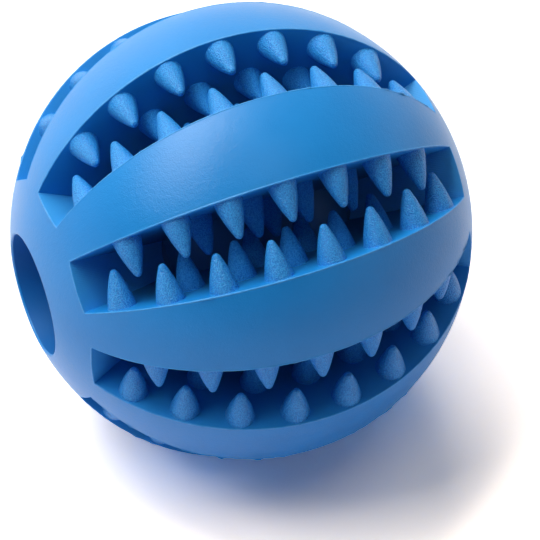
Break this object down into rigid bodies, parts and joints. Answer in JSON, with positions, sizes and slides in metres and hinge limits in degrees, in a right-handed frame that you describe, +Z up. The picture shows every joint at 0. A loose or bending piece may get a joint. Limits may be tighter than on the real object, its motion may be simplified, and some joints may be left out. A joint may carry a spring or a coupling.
{
  "type": "dental dog ball",
  "caption": "Rubber chew ball for dogs with deep slots whose walls carry rows of interlocking conical teeth that clean a dog's teeth, with a bore through both poles.",
  "frame": {"origin": "centre of the ball, on the axis of the bore through both poles", "axes": "X along the axis through both poles, Z up with one slot facing straight down"},
  "size_m": [0.0674, 0.0686, 0.0686],
  "materials": {
    "blue_rubber": "satin"
  },
  "bodies": {
    "root": {"rib_1": "blue_rubber", "rib_2": "blue_rubber", "rib_3": "blue_rubber", "rib_4": "blue_rubber", "rib_5": "blue_rubber", "rib_6": "blue_rubber", "rib_7": "blue_rubber", "rib_8": "blue_rubber", "left_pole_cap": "blue_rubber", "right_pole_cap": "blue_rubber", "core": "blue_rubber"}
  },
  "joints": []
}
